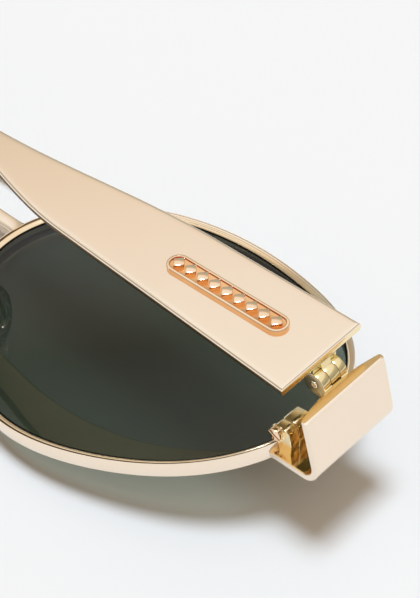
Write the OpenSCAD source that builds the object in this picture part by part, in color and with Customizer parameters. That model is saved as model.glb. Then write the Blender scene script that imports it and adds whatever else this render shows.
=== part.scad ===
// Metal-framed aviator sunglasses, lying on the fronts of the two lenses.
// +X is the wearer's right, +Y is up and +Z is backwards on the wearer's head.
// The right temple is folded over the right lens and the left temple stands open.
// Z = 0 is the surface that the lens fronts touch.

/* [Lenses and rims] */
// Distance between the two lens centres
lens_spacing = 74; // [70:1:80]
// Height of the lens centres above the middle of the whole outline
lens_y = 1.4; // [1:0.1:2]
// Half width of a rim's outline
rim_a = 30; // [27:0.5:32]
// Half height of a rim's outline
rim_b = 22.4; // [20:0.2:24]
// Outline: how much wider the temple half is than the nose half
swell_side = 0.23; // [0:0.01:0.6]
// Outline: how much the lower half drops
drop_low = 0.45; // [0:0.01:1]
// Outline: how much the teardrop leans towards the cheek
lean = 0.55; // [0:0.01:1]
// Outline: three-sided part along X
tri_x = 0.56; // [0:0.01:1]
// Outline: three-sided part along Y
tri_y = 0.38; // [0:0.01:1]
// Outline: four-sided part along X
quad_x = 0.2; // [0:0.01:0.5]
// Outline: four-sided part along Y
quad_y = 0.23; // [0:0.01:0.5]
// Face-form angle of each side of the front
wrap = 9.5; // [6:0.5:12]
// Radius of the rims' back surface (a 6-base curve)
base_r = 85; // [80:1:100]
// Width of the rim wire, seen from behind
rim_w = 0.85; // [0.7:0.05:1.2]
// Depth of the rim wire, front to back
rim_d = 2.15; // [1.8:0.05:2.6]
// Thickness of a lens
lens_t = 1.8; // [1.6:0.1:2]

/* [Bridge] */
// Height of the bridge's middle above the lens centres
bridge_y = 4.1; // [3:0.1:6]
// Height of the bridge bar
bridge_h = 2.2; // [1.8:0.1:3]
// Height of the brow bar's middle above the lens centres
brow_y = 12.1; // [11:0.1:14]
// Height of the brow bar
brow_h = 1.8; // [1.4:0.1:2.4]

/* [Endpieces] */
// Outer face of the side plate, from the lens centre
plate_x = 35.9; // [35.5:0.1:37]
// Lower edge of the endpiece and of the temple's root
plate_low = -8.55; // [-9:0.05:-8]
// Upper edge of the endpiece and of the temple's root
plate_high = 5.75; // [5:0.05:6.5]
// Back edge of the side plate, from the lens plane
plate_top = 10; // [9.8:0.1:10.1]
// Thickness of the endpiece's sheet
sheet_t = 0.9; // [0.8:0.05:1.1]
// Outer radius of the endpiece's bend
bend_r = 2.5; // [2:0.1:3]
// How far the plate's inner face is crowned in its middle
crown = 1; // [0.6:0.1:1.1]

/* [Hinges] */
// Hinge axis, from the lens centre towards the temple
hinge_x = 32.35; // [32.2:0.05:32.5]
// Hinge axis, from the lens plane backwards
hinge_z = 10.2; // [10.1:0.05:10.3]
// Radius of the knuckles
knuckle_r = 1.58; // [1.5:0.02:1.6]
// Radius of the hinge screw's shank
pin_r = 0.55; // [0.5:0.01:0.58]
// Fold of the right temple at rest, from in line with its plate
fold_right = 83; // [80:0.5:84]
// Full fold of the left temple, which comes to lie on the right one
fold_left = 78.5; // [76:0.5:79]

/* [Temples] */
// Length of a temple along its middle line
temple_l = 145; // [140:1:150]
// Thickness of a temple's sheet
temple_t = 1.2; // [1:0.1:1.3]
// Height of the slim arm
arm_h = 4; // [3.6:0.2:4.4]
// Distance from the hinge end to the ear bend
ear_start = 96; // [92:1:100]
// Angle of the ear bend
ear_angle = 38; // [30:1:42]
// Radius of the ear bend
ear_r = 28; // [24:1:34]
// Height of the tip sleeve
tip_h = 5.6; // [5:0.2:6.4]
// Thickness of the tip sleeve
tip_t = 2.8; // [2.6:0.1:3.2]

/* [Nose pads] */
// Half the distance between the pads' middles
pad_x = 8.8; // [8.4:0.1:9.4]
// Length of a pad
pad_l = 13; // [12:0.5:14]
// Width of a pad
pad_w = 7.4; // [7:0.2:8]
// Thickness of a pad
pad_t = 2.4; // [2.2:0.1:2.6]
// Turn of a pad about the wearer's upright axis
pad_splay = 25; // [20:1:30]
// Lean of a pad, wider towards the bottom of the nose
pad_lean = 14; // [10:1:18]
// Height of a pad's middle above the lens centres
pad_y = -6; // [-8:0.5:-4]
// Height of a pad's middle above the surface that the lenses touch
pad_z = 9.8; // [9:0.1:10.5]

/* [Hidden] */
$fn = 48;
eps = 0.01;
pi = 3.14159265;

gold = [0.90, 0.76, 0.60];
deep_gold = [0.80, 0.62, 0.34];
lens_green = [0.20, 0.23, 0.19];
silicone = [0.92, 0.92, 0.90];
acetate = [0.22, 0.13, 0.09];

// The rim's surfaces and the lens's surfaces are spheres about one centre.
half_sag = (base_r - sqrt(base_r * base_r - rim_a * rim_a)) / 2;
sphere_z = base_r - half_sag;
lens_inset = (rim_d - lens_t) / 2;
lens_front_r = base_r + lens_inset + lens_t;
lens_lift = lens_front_r - sphere_z * cos(wrap);
mid_r = base_r + rim_d / 2;
groove_depth = 0.4;
groove_half = 0.35;
rim_gap_y = -5.8;

plate_mid = (plate_low + plate_high) / 2;
plate_h = plate_high - plate_low;
strip_z = 0.75;
bend_z = strip_z + 0.25;
seam_gap = 0.35;

// Knuckles along Y: the front leaf's two outer ones and the temple's middle one.
knuckle_low = [-3, -1.68];
knuckle_mid = [-1.63, 0];
knuckle_high = [0.05, 1.2];
pin_bore = pin_r + 0.05;

// Closing block, rim screw
block_low = -7.55;
block_high = -3.25;
block_screw = [29.75, 4.6];
block_foot = bend_z + sheet_t - 0.05;
rim_screw_r = 0.5;

tip_start = ear_start - 6;

// One side of the front: the lens frame, tilted by the wrap angle.
module side(s) {
    mirror([s < 0 ? 1 : 0, 0, 0])
        translate([lens_spacing / 2, lens_y, lens_lift]) rotate([0, -wrap, 0]) children();
}

// A temple's own frame: X runs along it from its hinge end, Y is up,
// and Z = 0 is its outer face. It is folded by an angle about the hinge.
module on_temple(s, fold) {
    side(s) translate([hinge_x, 0, hinge_z]) rotate([0, -fold, 0])
        translate([plate_x - hinge_x, 0, plate_top + seam_gap - hinge_z])
            rotate([0, -90, 0]) children();
}

// A nose pad's frame: Y along the pad, Z across it and X away from the nose.
module on_pad(s) {
    mirror([s < 0 ? 1 : 0, 0, 0])
        translate([pad_x, lens_y + pad_y, pad_z])
            rotate([0, pad_splay, 0]) rotate([0, 0, pad_lean]) children();
}

// ---- rims and lenses ----
function rim_radius(t) = rim_a * rim_b / sqrt(pow(rim_b * cos(t), 2) + pow(rim_a * sin(t), 2))
    + swell_side * cos(t) - drop_low * sin(t) - lean * sin(2 * t)
    + tri_x * cos(3 * t) + tri_y * sin(3 * t) + quad_x * cos(4 * t) - quad_y * sin(4 * t);

module outline(grow) {
    polygon([for (i = [0 : 95]) let (t = i * 3.75, r = rim_radius(t) + grow)
        [r * cos(t), r * sin(t)]]);
}

// What lies between two spheres about the lens's centre of curvature.
module shell(r_in, r_out) {
    intersection() {
        translate([0, 0, -10]) linear_extrude(20) children();
        difference() {
            translate([0, 0, sphere_z]) sphere(r_out);
            translate([0, 0, sphere_z]) sphere(r_in);
        }
    }
}

module rim(s) {
    color(gold) side(s) difference() {
        shell(base_r, base_r + rim_d) difference() {
            outline(0);
            outline(-rim_w);
            // The cut that lets the lens in, closed by the block's screw.
            translate([rim_a - 4, rim_gap_y - 0.05]) square([8, 0.1]);
        }
        shell(mid_r - groove_half - 0.05, mid_r + groove_half + 0.05) outline(-groove_depth);
    }
}

module lens(s) {
    color(lens_green) side(s) union() {
        shell(base_r + lens_inset, lens_front_r) outline(-rim_w - 0.03);
        shell(mid_r - groove_half, mid_r + groove_half) outline(-groove_depth - 0.08);
    }
}

// ---- bars between the rims ----
// A straight bar with rounded edges, whose ends follow the rims' outline.
module bar(y_mid, h, d, z_mid) {
    color(gold) difference() {
        translate([-lens_spacing / 2, lens_y + y_mid, z_mid]) rotate([90, 0, 90])
            linear_extrude(lens_spacing) rounded_box(d, h, 0.4);
        for (s = [-1, 1]) side(s)
            translate([0, 0, -12]) linear_extrude(24) outline(-0.3);
    }
}

// A rounded rectangle, h wide and d high, about its middle.
module rounded_box(d, h, r) {
    for (a = [0, 1]) square([h - 2 * r * a, d - 2 * r * (1 - a)], center = true);
    for (x = [-1, 1], y = [-1, 1])
        translate([x * (h / 2 - r), y * (d / 2 - r)]) circle(r);
}

// ---- endpiece ----
// Section of the strip: out from the rim, round the bend and back up the plate.
module strip_section() {
    in_r = bend_r - sheet_t;
    cx = plate_x - bend_r;
    cz = bend_z + bend_r;
    polygon(concat(
        [[27, strip_z]],
        [for (a = [-90 : 7.5 : 0]) [cx + bend_r * cos(a), cz + bend_r * sin(a)]],
        [[plate_x, plate_top - 0.35], [plate_x - 0.3, plate_top], [plate_x - sheet_t, plate_top]],
        [for (a = [0 : -7.5 : -90]) [cx + in_r * cos(a), cz + in_r * sin(a)]],
        [[27, strip_z + sheet_t]]));
}

module endpiece(s) {
    crown_r = (pow(plate_h / 2, 2) + crown * crown) / (2 * crown);
    color(gold) side(s) difference() {
        union() {
            translate([0, plate_high, 0]) rotate([90, 0, 0])
                linear_extrude(plate_h) strip_section();
            // The plate's crowned inner face, which carries the hinge.
            intersection() {
                translate([plate_x - sheet_t - crown, plate_low, bend_z + bend_r])
                    cube([crown + 0.2, plate_h, plate_top - bend_z - bend_r]);
                translate([plate_x - sheet_t - crown + crown_r, plate_mid, 0])
                    cylinder(h = plate_top + 1, r = crown_r, $fn = 180);
            }
        }
        translate([0, 0, -10]) linear_extrude(20) outline(-0.15);
    }
}

// ---- closing block and rim screw ----
// Its foot reaches inwards to foot_x and stands on the rim's outer side.
module block_section(foot_x) {
    polygon([[28.6, 3.45], [28.45, 4.9], [29.2, 5.8], [30.6, 5.9], [31.7, 5.1], [32.0, 3.6],
             [31.6, 2.3], [30.95, block_foot], [foot_x, block_foot], [foot_x - 0.2, 3.1]]);
}

module closing_block(s, y0, y1, foot_x) {
    color(deep_gold) side(s) difference() {
        translate([0, y1, 0]) rotate([90, 0, 0]) linear_extrude(y1 - y0) block_section(foot_x);
        translate([block_screw[0], y0 - 1, block_screw[1]]) rotate([-90, 0, 0])
            cylinder(h = 8, r = rim_screw_r + 0.05);
    }
}

// A slotted screw along +Z: its head below Z = 0 and its shank above.
module slotted_screw(head_r, head_t, shank_r, shank_l) {
    difference() {
        union() {
            translate([0, 0, -head_t]) cylinder(h = head_t, r = head_r);
            translate([0, 0, -eps]) cylinder(h = shank_l, r = shank_r);
        }
        translate([-2, -0.12, -head_t - 1]) cube([4, 0.24, 1 + head_t * 0.5]);
    }
}

module rim_screw(s) {
    color(deep_gold) side(s)
        translate([block_screw[0], block_low - 0.02, block_screw[1]]) rotate([-90, 0, 0])
            rotate([0, 0, 35]) slotted_screw(0.85, 0.6, rim_screw_r, 4);
}

// ---- hinge ----
module knuckle(span) {
    translate([hinge_x, span[0], hinge_z]) rotate([-90, 0, 0])
        cylinder(h = span[1] - span[0], r = knuckle_r);
}

module pin_hole() {
    translate([hinge_x, -10, hinge_z]) rotate([-90, 0, 0]) cylinder(h = 20, r = pin_bore);
}

module hinge_leaf_front(s) {
    foot_x = plate_x - sheet_t - crown;
    foot_low = hinge_z - 4.4;
    color(deep_gold) side(s) difference() {
        union() {
            for (span = [knuckle_low, knuckle_high]) {
                knuckle(span);
                translate([hinge_x, span[0], hinge_z - knuckle_r])
                    cube([foot_x - hinge_x + 0.15, span[1] - span[0], knuckle_r - 0.25]);
            }
            translate([foot_x - 0.6, knuckle_low[0], foot_low])
                cube([0.75, knuckle_high[1] - knuckle_low[0],
                      hinge_z - knuckle_r - foot_low - 0.25]);
            for (span = [knuckle_low, knuckle_high])
                translate([foot_x - 0.6, span[0], hinge_z - knuckle_r - 0.5])
                    cube([0.75, span[1] - span[0], 1]);
        }
        pin_hole();
        translate([hinge_x, knuckle_low[0] - 1, hinge_z]) rotate([-90, 0, 0])
            cylinder(h = 1.3, r = 0.8);
    }
}

module hinge_screw(s) {
    color(deep_gold) side(s)
        translate([hinge_x, knuckle_low[0] + 0.3, hinge_z]) rotate([-90, 0, 0])
            rotate([0, 0, 60])
                slotted_screw(0.72, 0.38, pin_r, knuckle_high[1] - knuckle_low[0] - 0.35);
}

module hinge_leaf_temple(s, fold) {
    reach = plate_x - hinge_x - temple_t;
    leaf_z = plate_top + seam_gap - hinge_z;
    color(deep_gold) side(s)
        translate([hinge_x, 0, hinge_z]) rotate([0, -fold, 0]) translate([-hinge_x, 0, -hinge_z])
            difference() {
                union() {
                    knuckle(knuckle_mid);
                    translate([hinge_x, knuckle_mid[0], hinge_z + leaf_z])
                        cube([reach, knuckle_mid[1] - knuckle_mid[0], knuckle_r + 0.4]);
                    translate([hinge_x + reach - 0.9, knuckle_mid[0], hinge_z + leaf_z])
                        cube([0.9, knuckle_mid[1] - knuckle_mid[0], 7]);
                    translate([hinge_x + reach - 0.9, knuckle_low[0], hinge_z + leaf_z + 2.2])
                        cube([0.9, knuckle_high[1] - knuckle_low[0], 4.8]);
                }
                pin_hole();
            }
}

// ---- temple ----
function ease(x, a, b) = let (u = min(1, max(0, (x - a) / (b - a)))) (1 - cos(180 * u)) / 2;
arm_mid = 1;
function edge_high(x) = plate_high
    - (plate_high - arm_mid - arm_h / 2) * ease(x, 22, 62);
root_taper = 0.07;
function edge_low(x) = plate_low + root_taper * min(x, 60)
    + (arm_mid - arm_h / 2 - plate_low - root_taper * 60) * ease(x, 40, 66);

// Middle line of the slim arm: straight, round the ear bend, then straight again.
arc_l = ear_r * ear_angle * pi / 180;
function turn(u) = u < ear_start ? 0 : min(ear_angle, (u - ear_start) / ear_r * 180 / pi);
function mid_line(u) = u < ear_start ? [u, arm_mid]
    : let (a = turn(u), rest = max(0, u - ear_start - arc_l))
      [ear_start + ear_r * sin(a) + rest * cos(a),
       arm_mid - ear_r * (1 - cos(a)) - rest * sin(a)];
function beside(u, off) = let (a = turn(u), p = mid_line(u))
    [p[0] + off * sin(a), p[1] + off * cos(a)];

// A band along the middle line from u0 to u1, given as distances along it,
// whose far end is square or round.
module band(u0, u1, half, steps, round_end = false) {
    us = [for (i = [0 : steps]) u0 + (u1 - u0) * i / steps];
    cap = round_end ? [for (a = [80 : -10 : -80])
        beside(u1 + half * cos(a), half * sin(a))] : [];
    polygon(concat([for (u = us) beside(u, half)], cap,
                   [for (i = [steps : -1 : 0]) beside(us[i], -half)]));
}

core_l = temple_l - 5;
core_half = 1;
module temple_outline() {
    polygon(concat(
        [for (x = [0 : 3 : 66]) [x, edge_high(x)]],
        [[tip_start + 3, arm_mid + arm_h / 2], [tip_start + 3, arm_mid - arm_h / 2]],
        [for (x = [66 : -3 : 0]) [x, edge_low(x)]]));
}

module temple(s, fold) {
    color(gold) on_temple(s, fold) linear_extrude(temple_t) {
        temple_outline();
        // The core that runs on inside the sleeve.
        band(tip_start + 2, core_l, core_half, 24);
    }
}

sleeve_gap = 0.03;
module temple_tip(s, fold) {
    color(acetate) on_temple(s, fold) difference() {
        translate([0, 0, (temple_t - tip_t) / 2]) linear_extrude(tip_t)
            band(tip_start, temple_l - tip_h / 2, tip_h / 2, 24, true);
        translate([0, 0, -sleeve_gap]) linear_extrude(temple_t + 2 * sleeve_gap) {
            band(tip_start - 1, tip_start + 3 + sleeve_gap, arm_h / 2 + sleeve_gap, 2);
            band(tip_start, core_l + sleeve_gap, core_half + sleeve_gap, 24);
        }
    }
}

// A plain raised bar with a row of lozenges on the temple's outer face.
plaque_x = [6, 24.5];
plaque_y = -1;
plaque_h = 2.7;
studs = 9;
module plaque(s, fold) {
    len = plaque_x[1] - plaque_x[0];
    color(deep_gold) on_temple(s, fold) translate([plaque_x[0], plaque_y, 0]) {
        translate([0, 0, -0.35]) linear_extrude(0.35) {
            translate([plaque_h / 2, -plaque_h / 2]) square([len - plaque_h, plaque_h]);
            for (x = [plaque_h / 2, len - plaque_h / 2]) translate([x, 0]) circle(plaque_h / 2);
        }
        for (i = [0 : studs - 1])
            translate([plaque_h / 2 + (len - plaque_h) * i / (studs - 1), 0, -0.7])
                linear_extrude(0.36) rotate(45) square(1.25, center = true);
    }
}

// ---- nose pads ----
lug_x = pad_t / 2 + 1.5;

// Where a point of the right pad's frame lies in the model's frame.
function pad_point(p) =
    let (x = p[0] * cos(pad_lean) - p[1] * sin(pad_lean),
         y = p[0] * sin(pad_lean) + p[1] * cos(pad_lean))
    [pad_x + x * cos(pad_splay) + p[2] * sin(pad_splay), lens_y + pad_y + y,
     pad_z - x * sin(pad_splay) + p[2] * cos(pad_splay)];

// The wire from the rim, back and outwards, then into the end of the pad's box.
arm_route = [[7.95, lens_y - 2.4, 2.2], [7.3, lens_y - 2.6, 4.4], [9.8, lens_y - 3.5, 5.4],
             [13, lens_y - 4.7, 6.6], pad_point([lug_x + 2.1, 0, 0]),
             pad_point([lug_x + 1, 0, 0])];
arm_r = 0.5;
arm_steps = 4;
arm_sides = 10;

// A point of the smooth curve through a route's points; u counts along them.
function route_at(p, u) =
    let (last = len(p) - 1, i = min(last - 1, floor(u)), t = u - i,
         a = p[max(0, i - 1)], b = p[i], c = p[i + 1], d = p[min(last, i + 2)])
    0.5 * (2 * b + (c - a) * t + (2 * a - 5 * b + 4 * c - d) * t * t
           + (3 * b - a - 3 * c + d) * t * t * t);
function unit(v) = v / norm(v);

// A round wire along a route that never runs up or down steeply.
module wire(p, r) {
    stations = (len(p) - 1) * arm_steps;
    rings = [for (i = [0 : stations])
        let (u = i / arm_steps, at = route_at(p, u),
             t = unit(route_at(p, min(len(p) - 1, u + 0.02)) - route_at(p, max(0, u - 0.02))),
             across = unit([-t[2], 0, t[0]]), up = cross(across, t))
        [for (k = [0 : arm_sides - 1]) let (a = k * 360 / arm_sides)
            at + r * cos(a) * across + r * sin(a) * up]];
    n = arm_sides;
    polyhedron(
        points = [for (ring = rings) for (q = ring) q],
        faces = concat(
            [[for (k = [n - 1 : -1 : 0]) k]],
            [for (i = [0 : stations - 1], k = [0 : n - 1], half = [0, 1])
                let (a = i * n + k, b = i * n + (k + 1) % n)
                half == 0 ? [a, b, a + n] : [b, b + n, a + n]],
            [[for (k = [0 : n - 1]) stations * n + k]]));
}

module pad_arm(s) {
    color(gold) mirror([s < 0 ? 1 : 0, 0, 0]) wire(arm_route, arm_r);
}

module pad_box(s) {
    color(gold) on_pad(s) difference() {
        translate([lug_x - 0.9, -1.15, -1.35]) cube([2.3, 2.3, 2.7]);
        translate([lug_x - 2, -2, -0.7]) cube([2 + 0.95, 4, 1.4]);
        translate([lug_x, 0, -3]) cylinder(h = 6, r = 0.45);
    }
}

module pad_screw(s) {
    color(deep_gold) on_pad(s) translate([lug_x, 0, 1.37]) mirror([0, 0, 1])
        slotted_screw(0.7, 0.4, 0.4, 2.7);
}

module pad_stem(s) {
    color(gold) on_pad(s) difference() {
        union() {
            translate([lug_x, 0, -0.6]) cylinder(h = 1.2, r = 0.85);
            translate([0.3, -0.7, -0.6]) cube([lug_x - 0.3, 1.4, 1.2]);
            translate([0.1, -2.2, -1.2]) cube([0.4, 4.4, 2.4]);
        }
        translate([lug_x, 0, -3]) cylinder(h = 6, r = 0.45);
    }
}

// A drop-shaped pad: flat outside, domed towards the nose.
module nose_pad(s) {
    dome = 20;
    color(silicone) on_pad(s) difference() {
        intersection() {
            translate([-pad_t / 2, 0, 0]) rotate([0, 90, 0]) linear_extrude(pad_t)
                polygon([for (i = [0 : 39]) let (t = i * 9)
                    [pad_w / 2 * sin(t) * (1 - 0.12 * cos(t)), pad_l / 2 * cos(t)]]);
            translate([dome - pad_t / 2, 0, 0]) sphere(dome, $fn = 96);
        }
        translate([0.1, -2.2, -1.2]) cube([0.4, 4.4, 2.4]);
        translate([0.3, -0.7, -0.6]) cube([4, 1.4, 1.2]);
    }
}

rim(1);  // rim_right
rim(-1);  // rim_left
lens(1);  // lens_right
lens(-1);  // lens_left
bar(bridge_y, bridge_h, 2.1, 2.5);  // bridge
bar(brow_y, brow_h, 1.8, 2.7);  // brow_bar
endpiece(1);  // endpiece_right
endpiece(-1);  // endpiece_left
closing_block(1, block_low, rim_gap_y - 0.03, 29.6);  // closing_block_low_right
closing_block(-1, block_low, rim_gap_y - 0.03, 29.6);  // closing_block_low_left
closing_block(1, rim_gap_y + 0.03, block_high, 30.25);  // closing_block_high_right
closing_block(-1, rim_gap_y + 0.03, block_high, 30.25);  // closing_block_high_left
rim_screw(1);  // rim_screw_right
rim_screw(-1);  // rim_screw_left
hinge_leaf_front(1);  // hinge_leaf_front_right
hinge_leaf_front(-1);  // hinge_leaf_front_left
hinge_screw(1);  // hinge_screw_right
hinge_screw(-1);  // hinge_screw_left
pad_arm(1);  // pad_arm_right
pad_arm(-1);  // pad_arm_left
pad_box(1);  // pad_box_right
pad_box(-1);  // pad_box_left
pad_screw(1);  // pad_screw_right
pad_screw(-1);  // pad_screw_left
pad_stem(1);  // pad_stem_right
pad_stem(-1);  // pad_stem_left
nose_pad(1);  // nose_pad_right
nose_pad(-1);  // nose_pad_left
hinge_leaf_temple(1, fold_right);  // hinge_leaf_temple_right
hinge_leaf_temple(-1, 0);  // hinge_leaf_temple_left
temple(1, fold_right);  // temple_right
temple(-1, 0);  // temple_left
plaque(1, fold_right);  // plaque_right
plaque(-1, 0);  // plaque_left
temple_tip(1, fold_right);  // temple_tip_right
temple_tip(-1, 0);  // temple_tip_left
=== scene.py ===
import math

import bmesh
import bpy
from mathutils import Matrix, Vector


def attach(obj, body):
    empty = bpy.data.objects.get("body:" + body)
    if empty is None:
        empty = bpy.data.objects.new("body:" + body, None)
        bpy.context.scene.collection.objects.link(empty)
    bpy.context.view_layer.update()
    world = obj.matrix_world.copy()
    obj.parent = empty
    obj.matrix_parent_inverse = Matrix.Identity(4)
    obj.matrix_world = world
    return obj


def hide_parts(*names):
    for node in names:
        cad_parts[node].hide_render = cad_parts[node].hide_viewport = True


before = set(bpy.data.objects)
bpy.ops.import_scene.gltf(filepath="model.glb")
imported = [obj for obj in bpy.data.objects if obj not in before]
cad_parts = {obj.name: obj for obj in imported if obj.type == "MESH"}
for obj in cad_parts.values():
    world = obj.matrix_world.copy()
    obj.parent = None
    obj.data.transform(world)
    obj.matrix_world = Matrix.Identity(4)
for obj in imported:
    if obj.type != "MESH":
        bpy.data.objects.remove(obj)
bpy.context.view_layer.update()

# Everything below is in millimetres and degrees, unless a comment says metres.
MM = 0.001
SIDES = {"right": 1, "left": -1}

# ---- the sizes of the CAD model ----
# The middles of the lenses, the half-axes of their outline's ellipse, and their wrap angle.
LENS_SPACING, LENS_Y = 74.0, 1.4
RIM_A, RIM_B = 30.0, 22.4
WRAP = 9.5
# Rim and lens lie on spheres about one centre, which is SPHERE_Z above the lens's frame.
BASE_R = 85.0
RIM_W, RIM_D = 0.85, 2.15
LENS_T = 1.8
LENS_IN = (RIM_D - LENS_T) / 2
HALF_SAG = (BASE_R - math.sqrt(BASE_R ** 2 - RIM_A ** 2)) / 2
SPHERE_Z = BASE_R - HALF_SAG
LENS_LIFT = BASE_R + LENS_IN + LENS_T - SPHERE_Z * math.cos(math.radians(WRAP))
# The endpiece: a strip off the rim, a bend, and a side plate with a crown on its inner face.
PLATE_X, PLATE_TOP = 35.9, 10.0
PLATE_LOW, PLATE_HIGH = -8.55, 5.75
STRIP_Z, BEND_Z, BEND_R = 0.75, 1.0, 2.5
SHEET_T, CROWN = 0.9, 1.0
# The hinge's axis is along Y. Three knuckles share it.
HINGE_X, HINGE_Z = 32.35, 10.2
KNUCKLE_R = 1.58
KNUCKLE_LOW, KNUCKLE_MID, KNUCKLE_HIGH = (-3.0, -1.68), (-1.63, 0.0), (0.05, 1.2)
FOLD = {"right": 83.0, "left": 0.0}
SEAM = 0.35
# The closing block is cut in two where the rim is cut.
BLOCK_LOW, BLOCK_GAP, BLOCK_HIGH = -7.55, -5.8, -3.25
BLOCK_SCREW = (29.75, 4.6)
BLOCK_FOOT, BLOCK_CUT = 1.35, 0.03
# The temple: a blade, an arm that turns down behind the ear, and the sleeve on its tip.
TEMPLE_T, TEMPLE_L, ARM_H, ARM_MID = 1.2, 145.0, 4.0, 1.0
EAR_START, EAR_ANGLE, EAR_R = 96.0, 38.0, 28.0
TIP_START, TIP_H, TIP_T = 90.0, 5.6, 2.8
# The ornament on the blade: from x to x, its middle height, its own height, its lozenges.
PLAQUE = (6.0, 24.5, -1.0, 2.7)
STUDS = 9
# A nose pad's place and angles, its size, and the lug that its box holds.
PAD_X, PAD_Y, PAD_Z, PAD_SPLAY, PAD_LEAN = 8.8, -6.0, 9.8, 25.0, 14.0
PAD_L, PAD_W, PAD_T = 13.0, 7.4, 2.4
LUG_X = PAD_T / 2 + 1.5


# ---- places ----
def turn_y(degrees):
    return Matrix.Rotation(math.radians(degrees), 4, "Y")


def shift(x, y, z):
    return Matrix.Translation((x, y, z))


def mirrored(side, place):
    return Matrix.Scale(-1, 4, (1, 0, 0)) @ place if SIDES[side] < 0 else place


def lens_place(side):
    return mirrored(side, shift(LENS_SPACING / 2, LENS_Y, LENS_LIFT) @ turn_y(-WRAP))


def hinge_place(side, fold):
    return lens_place(side) @ shift(HINGE_X, 0, HINGE_Z) @ turn_y(-fold)


def temple_place(side):
    return (hinge_place(side, FOLD[side])
            @ shift(PLATE_X - HINGE_X, 0, PLATE_TOP + SEAM - HINGE_Z) @ turn_y(-90))


def pad_place(side):
    return mirrored(side, shift(PAD_X, LENS_Y + PAD_Y, PAD_Z) @ turn_y(PAD_SPLAY)
                    @ Matrix.Rotation(math.radians(PAD_LEAN), 4, "Z"))


# ---- making meshes ----
def solid(name, points, faces, place, mats, ids=None, bevel=0.0, angle=35):
    """A closed mesh, in metres, from points in millimetres in the frame place.

    ids gives the material of each face, and edges steeper than angle stay sharp.
    """
    mesh = bpy.data.meshes.new(name)
    mesh.from_pydata([(place @ Vector(p)) * MM for p in points], [], [tuple(f) for f in faces])
    for m in mats:
        mesh.materials.append(m)
    for poly in mesh.polygons:
        poly.use_smooth = True
        if ids is not None:
            poly.material_index = ids[poly.index]
    bm = bmesh.new()
    bm.from_mesh(mesh)
    bmesh.ops.recalc_face_normals(bm, faces=bm.faces)
    bm.to_mesh(mesh)
    bm.free()
    mesh.set_sharp_from_angle(angle=math.radians(angle))
    obj = bpy.data.objects.new(name, mesh)
    bpy.context.scene.collection.objects.link(obj)
    if bevel:
        m = obj.modifiers.new("edges", "BEVEL")
        m.width = bevel * MM
        m.segments = 2
        m.limit_method = "ANGLE"
        m.angle_limit = math.radians(angle)
    return obj


def grid(rows, cols):
    """Faces between neighbouring rings: rows rings of cols points each."""
    out = []
    for i in range(rows - 1):
        for j in range(cols):
            a, b = i * cols + j, i * cols + (j + 1) % cols
            out.append((a, b, b + cols, a + cols))
    return out


def loft(rings):
    """Points and faces of a closed body through rings of equal length."""
    cols = len(rings[0])
    points = [p for ring in rings for p in ring]
    faces = grid(len(rings), cols)
    faces.append(tuple(range(cols)))
    faces.append(tuple((len(rings) - 1) * cols + j for j in range(cols))[::-1])
    return points, faces


def join(parts):
    """Several (points, faces) bodies as one."""
    points, faces = [], []
    for p, f in parts:
        n = len(points)
        points += p
        faces += [tuple(i + n for i in face) for face in f]
    return points, faces


def prism(section, y0, y1):
    """A section of (x, z) points drawn along Y."""
    return loft([[(x, y, z) for x, z in section] for y in (y0, y1)])


def polar(radius, a, centre=(0.0, 0.0)):
    return centre[0] + radius * math.cos(a), centre[1] + radius * math.sin(a)


def arc(radius, angles, centre=(0.0, 0.0)):
    """Points of a circle at angles in degrees."""
    return [polar(radius, math.radians(a), centre) for a in angles]


def circle(radius, n, centre=(0.0, 0.0)):
    return [polar(radius, 2 * math.pi * k / n, centre) for k in range(n)]


def turned(profile, n, centre=(0.0, 0.0)):
    """A round body along Y from (y, radius) pairs."""
    return loft([[(x, y, z) for x, z in circle(r, n, centre)] for y, r in profile])


def finish(obj, body, slot, *nodes):
    """The body the piece rides on, its material slot, which is not used, and the CAD nodes it
    replaces.
    """
    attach(obj, body)
    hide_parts(*nodes)


def smooth_step(x, a, b):
    """0 below a, 1 above b, and half a cosine wave between them."""
    u = min(1.0, max(0.0, (x - a) / (b - a)))
    return (1 - math.cos(math.pi * u)) / 2


# ---- materials ----
# The height of the polishing marks, in metres.
MARK_HEIGHT = 0.00002
LENS_INDEX = 1.5
# How much less the lens's edge band shines, and the colour that it lets through: painted black
# shade.
EDGE_SHADE_DULL, EDGE_SHADE = 0.85, (0.05, 0.05, 0.045)


def new_material(name):
    m = bpy.data.materials.new(name)
    m.use_nodes = True
    nodes = m.node_tree.nodes
    nodes.clear()
    return m, nodes, m.node_tree.links


def principled_material(name):
    m, nodes, links = new_material(name)
    out = nodes.new("ShaderNodeOutputMaterial")
    bsdf = nodes.new("ShaderNodeBsdfPrincipled")
    links.new(bsdf.outputs[0], out.inputs[0])
    return m, nodes, links, bsdf


def noise(nodes, links, vector, **values):
    """A noise texture's factor; values are its inputs by name."""
    texture = nodes.new("ShaderNodeTexNoise")
    for key, value in values.items():
        texture.inputs[key].default_value = value
    links.new(vector, texture.inputs["Vector"])
    return texture.outputs["Fac"]


def vary_roughness(nodes, links, bsdf, factor, low, high):
    spread = nodes.new("ShaderNodeMapRange")
    spread.inputs["To Min"].default_value = low
    spread.inputs["To Max"].default_value = high
    links.new(factor, spread.inputs["Value"])
    links.new(spread.outputs["Result"], bsdf.inputs["Roughness"])


def add_marks(nodes, links, bsdf, height, strength):
    ridge = nodes.new("ShaderNodeBump")
    ridge.inputs["Strength"].default_value = strength
    ridge.inputs["Distance"].default_value = MARK_HEIGHT
    links.new(height, ridge.inputs["Height"])
    links.new(ridge.outputs["Normal"], bsdf.inputs["Normal"])


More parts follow.
